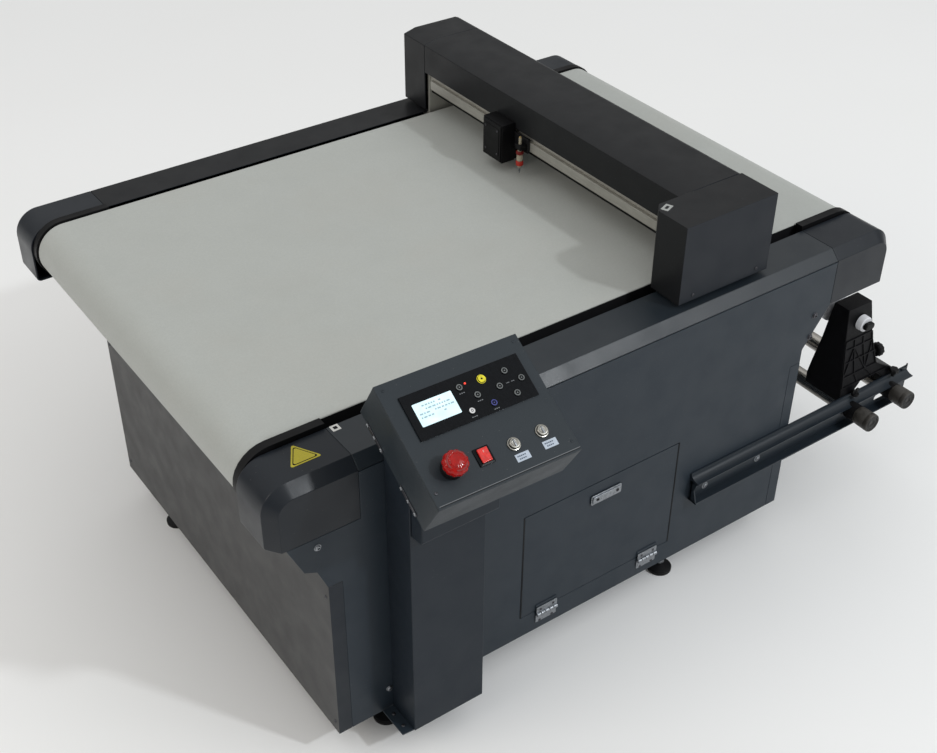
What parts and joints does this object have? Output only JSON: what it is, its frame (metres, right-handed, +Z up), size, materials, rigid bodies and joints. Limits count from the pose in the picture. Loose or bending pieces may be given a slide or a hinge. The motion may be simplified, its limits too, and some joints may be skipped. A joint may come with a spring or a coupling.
{
  "type": "flatbed printer cutter",
  "caption": "Flatbed cutter with a felt conveyor belt, a travelling gantry and knife head, a tilted control console on a post and a roll unwinder behind.",
  "frame": {"origin": "bottom centre of the whole machine's box, on the floor under the levelling feet", "axes": "+X along the feed, from the operator's left to the unwinder; +Y away from the operator; +Z up"},
  "size_m": [1.562, 1.3052, 0.845],
  "materials": {
    "cabinet_paint": "fine-textured blue-grey powder coat",
    "end_panel_paint": "satin neutral grey powder coat",
    "cover_paint": "satin charcoal powder coat",
    "black_plastic": "matte black",
    "felt": "needled felt",
    "aluminium": "satin anodised",
    "steel": "brushed",
    "console_paint": "fine-textured blue-grey powder coat",
    "red_plastic": "gloss red",
    "grey_key": "satin",
    "yellow_key": "satin",
    "blue_key": "satin",
    "white_key": "satin",
    "white_plastic": "satin white",
    "brass": "satin turned"
  },
  "bodies": {
    "machine": {"base_frame": "black_plastic", "console_face": "console_paint", "console_housing": "console_paint", "console_post": "cabinet_paint", "conveyor_belt": "felt", "door_hinge_left": "steel", "door_hinge_right": "steel", "estop_base": "black_plastic", "far_guide": "steel", "far_left_cap": "cover_paint", "far_rail_cover": "cabinet_paint", "far_right_cap": "cover_paint", "far_side_guard": "black_plastic", "far_side_panel": "cabinet_paint", "far_unwind_arm": "cabinet_paint", "inner_cross_bar": "steel", "keypad_panel": "black_plastic", "left_end_panel": "end_panel_paint", "near_guide": "steel", "near_left_cap": "cover_paint", "near_rail_cover": "cabinet_paint", "near_right_cap": "cover_paint", "near_side_guard": "black_plastic", "near_side_panel": "cabinet_paint", "near_unwind_arm": "cabinet_paint", "outer_cross_bar": "steel", "right_end_panel": "end_panel_paint", "vacuum_blower": "black_plastic", "vacuum_table": "aluminium"},
    "gantry": {"gantry_near_carriage": "aluminium", "gantry_far_carriage": "aluminium", "gantry_beam": "aluminium", "head_rail": "steel", "beam_cover": "cover_paint", "near_gantry_cover": "cover_paint", "far_gantry_cover": "cover_paint"},
    "head": {"head_carriage": "aluminium", "head_cover": "black_plastic"},
    "knife": {"knife_holder": "brass"},
    "left_roller": {"left_roller": "steel"},
    "right_roller": {"right_roller": "steel"},
    "door": {"access_door": "cabinet_paint", "door_handle": "steel"},
    "estop": {"estop_button": "red_plastic"},
    "rocker": {"rocker_switch": "red_plastic"},
    "push_left": {"push_button_left": "steel"},
    "push_right": {"push_button_right": "steel"},
    "near_holder": {"near_roll_holder": "black_plastic"},
    "far_holder": {"far_roll_holder": "black_plastic"},
    "near_spindle": {"near_spindle": "white_plastic"},
    "far_spindle": {"far_spindle": "white_plastic"},
    "key_menu": {"key_menu": "grey_key"},
    "key_start": {"key_start": "yellow_key"},
    "key_test": {"key_test": "grey_key"},
    "key_home": {"key_home": "white_key"},
    "key_pause": {"key_pause": "blue_key"},
    "key_back": {"key_back": "grey_key"},
    "key_left": {"key_left": "grey_key"},
    "key_front": {"key_front": "grey_key"},
    "key_right": {"key_right": "grey_key"}
  },
  "joints": [
    {"name": "gantry_travel", "type": "slide", "parent": "machine", "child": "gantry", "axis": [1, 0, 0], "range_m": [-0.69, 0.16]},
    {"name": "head_travel", "type": "slide", "parent": "gantry", "child": "head", "axis": [0, 1, 0], "range_m": [-0.445, 0.255]},
    {"name": "knife_lift", "type": "slide", "parent": "head", "child": "knife", "axis": [0, 0, 1], "range_m": [-0.007, 0], "stiffness_N_per_m": 300, "springref_m": 0.005},
    {"name": "left_roller_turn", "type": "hinge", "parent": "machine", "child": "left_roller", "pos_m": [-0.716, 0.11755, 0.622], "axis": [0, 1, 0], "continuous": true},
    {"name": "right_roller_turn", "type": "hinge", "parent": "machine", "child": "right_roller", "pos_m": [0.577, 0.11755, 0.622], "axis": [0, 1, 0], "continuous": true},
    {"name": "door_swing", "type": "hinge", "parent": "machine", "child": "door", "pos_m": [-0.09, -0.42195, 0.1085], "axis": [1, 0, 0], "range_deg": [0, 100]},
    {"name": "estop_press", "type": "slide", "parent": "machine", "child": "estop", "axis": [0.0176, 0.5042, -0.8634], "range_m": [0, 0.0035], "stiffness_N_per_m": 500},
    {"name": "rocker_tilt", "type": "hinge", "parent": "machine", "child": "rocker", "pos_m": [-0.51097, -0.60661, 0.76653], "axis": [0.9994, -0.0349, 0], "range_deg": [-14, 0]},
    {"name": "push_left_press", "type": "slide", "parent": "machine", "child": "push_left", "axis": [0.0176, 0.5042, -0.8634], "range_m": [0, 0.002], "stiffness_N_per_m": 300},
    {"name": "push_right_press", "type": "slide", "parent": "machine", "child": "push_right", "axis": [0.0176, 0.5042, -0.8634], "range_m": [0, 0.002], "stiffness_N_per_m": 300},
    {"name": "near_holder_slide", "type": "slide", "parent": "machine", "child": "near_holder", "axis": [0, 1, 0], "range_m": [0, 0.32]},
    {"name": "far_holder_slide", "type": "slide", "parent": "machine", "child": "far_holder", "axis": [0, 1, 0], "range_m": [-0.32, 0]},
    {"name": "near_spindle_turn", "type": "hinge", "parent": "near_holder", "child": "near_spindle", "pos_m": [0.606, -0.36745, 0.456], "axis": [0, 1, 0], "continuous": true},
    {"name": "far_spindle_turn", "type": "hinge", "parent": "far_holder", "child": "far_spindle", "pos_m": [0.606, 0.43855, 0.456], "axis": [0, 1, 0], "continuous": true},
    {"name": "key_menu_press", "type": "slide", "parent": "machine", "child": "key_menu", "axis": [0.0176, 0.5042, -0.8634], "range_m": [0, 0.001], "stiffness_N_per_m": 250},
    {"name": "key_start_press", "type": "slide", "parent": "machine", "child": "key_start", "axis": [0.0176, 0.5042, -0.8634], "range_m": [0, 0.001], "stiffness_N_per_m": 250},
    {"name": "key_test_press", "type": "slide", "parent": "machine", "child": "key_test", "axis": [0.0176, 0.5042, -0.8634], "range_m": [0, 0.001], "stiffness_N_per_m": 250},
    {"name": "key_home_press", "type": "slide", "parent": "machine", "child": "key_home", "axis": [0.0176, 0.5042, -0.8634], "range_m": [0, 0.001], "stiffness_N_per_m": 250},
    {"name": "key_pause_press", "type": "slide", "parent": "machine", "child": "key_pause", "axis": [0.0176, 0.5042, -0.8634], "range_m": [0, 0.001], "stiffness_N_per_m": 250},
    {"name": "key_back_press", "type": "slide", "parent": "machine", "child": "key_back", "axis": [0.0176, 0.5042, -0.8634], "range_m": [0, 0.001], "stiffness_N_per_m": 250},
    {"name": "key_left_press", "type": "slide", "parent": "machine", "child": "key_left", "axis": [0.0176, 0.5042, -0.8634], "range_m": [0, 0.001], "stiffness_N_per_m": 250},
    {"name": "key_front_press", "type": "slide", "parent": "machine", "child": "key_front", "axis": [0.0176, 0.5042, -0.8634], "range_m": [0, 0.001], "stiffness_N_per_m": 250},
    {"name": "key_right_press", "type": "slide", "parent": "machine", "child": "key_right", "axis": [0.0176, 0.5042, -0.8634], "range_m": [0, 0.001], "stiffness_N_per_m": 250}
  ],
  "couplings": [
    {"joint": "right_roller_turn", "follows": "left_roller_turn", "ratio": 1}
  ]
}
